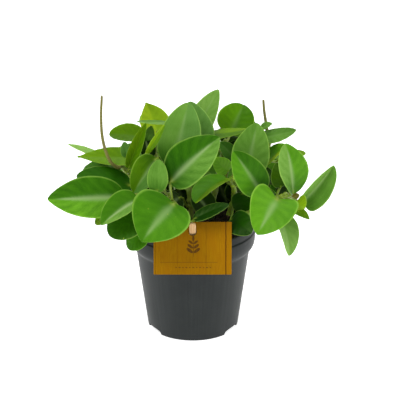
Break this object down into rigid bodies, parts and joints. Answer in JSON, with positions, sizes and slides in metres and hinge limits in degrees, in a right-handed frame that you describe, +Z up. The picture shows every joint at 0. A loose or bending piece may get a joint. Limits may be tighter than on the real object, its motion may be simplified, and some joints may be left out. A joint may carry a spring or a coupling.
{
  "type": "potted peperomia",
  "caption": "Leafy house plant with glossy oval leaves on fleshy stalks and thin flower spikes, in a round tapered plastic nursery pot of soil, with an unlettered label card on a peg.",
  "frame": {"origin": "centre of the pot's base, on the surface that the pot stands on", "axes": "+Z up; -Y towards the front, where the label card leans on the rim; +X to the right as seen from the front"},
  "size_m": [0.2716, 0.188, 0.2349],
  "materials": {
    "pot_plastic": "satin dark grey moulded plastic with faint scuffs",
    "soil": "moist crumbly peat with pale fibres",
    "card": "coated card printed as golden-brown planks",
    "peg": "pale unvarnished wood",
    "flower_spike": "matte olive-brown, finely granular",
    "stem": "fleshy yellow-green, slightly glossy",
    "leaf_bright": "smooth satin leaf, bright green",
    "leaf_mid": "smooth satin leaf, mid green",
    "leaf_dark": "smooth satin leaf, dark green",
    "leaf_young": "thin young leaf, yellow-green"
  },
  "bodies": {
    "root": {"label_card": "card", "label_peg": "peg", "leaf_above_card": "leaf_dark", "leaf_back_low_left": "leaf_mid", "leaf_back_low_right": "leaf_mid", "leaf_back_upper_left": "leaf_bright", "leaf_back_upper_right": "leaf_bright", "leaf_backlit": "leaf_young", "leaf_centre_broad": "leaf_bright", "leaf_centre_left": "leaf_mid", "leaf_centre_low": "leaf_mid", "leaf_centre_small": "leaf_bright", "leaf_crown": "leaf_mid", "leaf_edge_on": "leaf_mid", "leaf_far_left": "leaf_bright", "leaf_far_right": "leaf_dark", "leaf_front_heart": "leaf_bright", "leaf_left_dark": "leaf_dark", "leaf_left_folded": "leaf_mid", "leaf_left_pale": "leaf_mid", "leaf_left_under": "leaf_dark", "leaf_left_upright": "leaf_mid", "leaf_rear_far_left": "leaf_bright", "leaf_rear_far_right": "leaf_bright", "leaf_rear_heart_left": "leaf_mid", "leaf_rear_heart_low": "leaf_mid", "leaf_rear_heart_right": "leaf_mid", "leaf_rear_low_right": "leaf_mid", "leaf_rear_top_left": "leaf_mid", "leaf_rear_top_right": "leaf_mid", "leaf_right_behind": "leaf_mid", "leaf_right_creased": "leaf_mid", "leaf_right_curled": "leaf_bright", "leaf_right_hanging": "leaf_mid", "leaf_right_heart": "leaf_bright", "leaf_right_oval": "leaf_bright", "leaf_right_upright": "leaf_bright", "leaf_rim_left": "leaf_mid", "leaf_small_oval": "leaf_mid", "leaf_top_behind": "leaf_mid", "leaf_top_centre": "leaf_bright", "leaf_top_right_round": "leaf_dark", "leaf_under_crown": "leaf_young", "leaf_under_right": "leaf_dark", "leaf_upper_left_round": "leaf_mid", "left_flower_spike": "flower_spike", "pot": "pot_plastic", "right_flower_spike": "flower_spike", "soil": "soil", "stem_back_left": "stem", "stem_back_right": "stem", "stem_centre": "stem", "stem_front": "stem", "stem_left_front": "stem", "stem_left_middle": "stem", "stem_rear_left": "stem", "stem_rear_right": "stem", "stem_right_front": "stem", "stem_right_low": "stem", "stem_right_tall": "stem"}
  },
  "joints": []
}
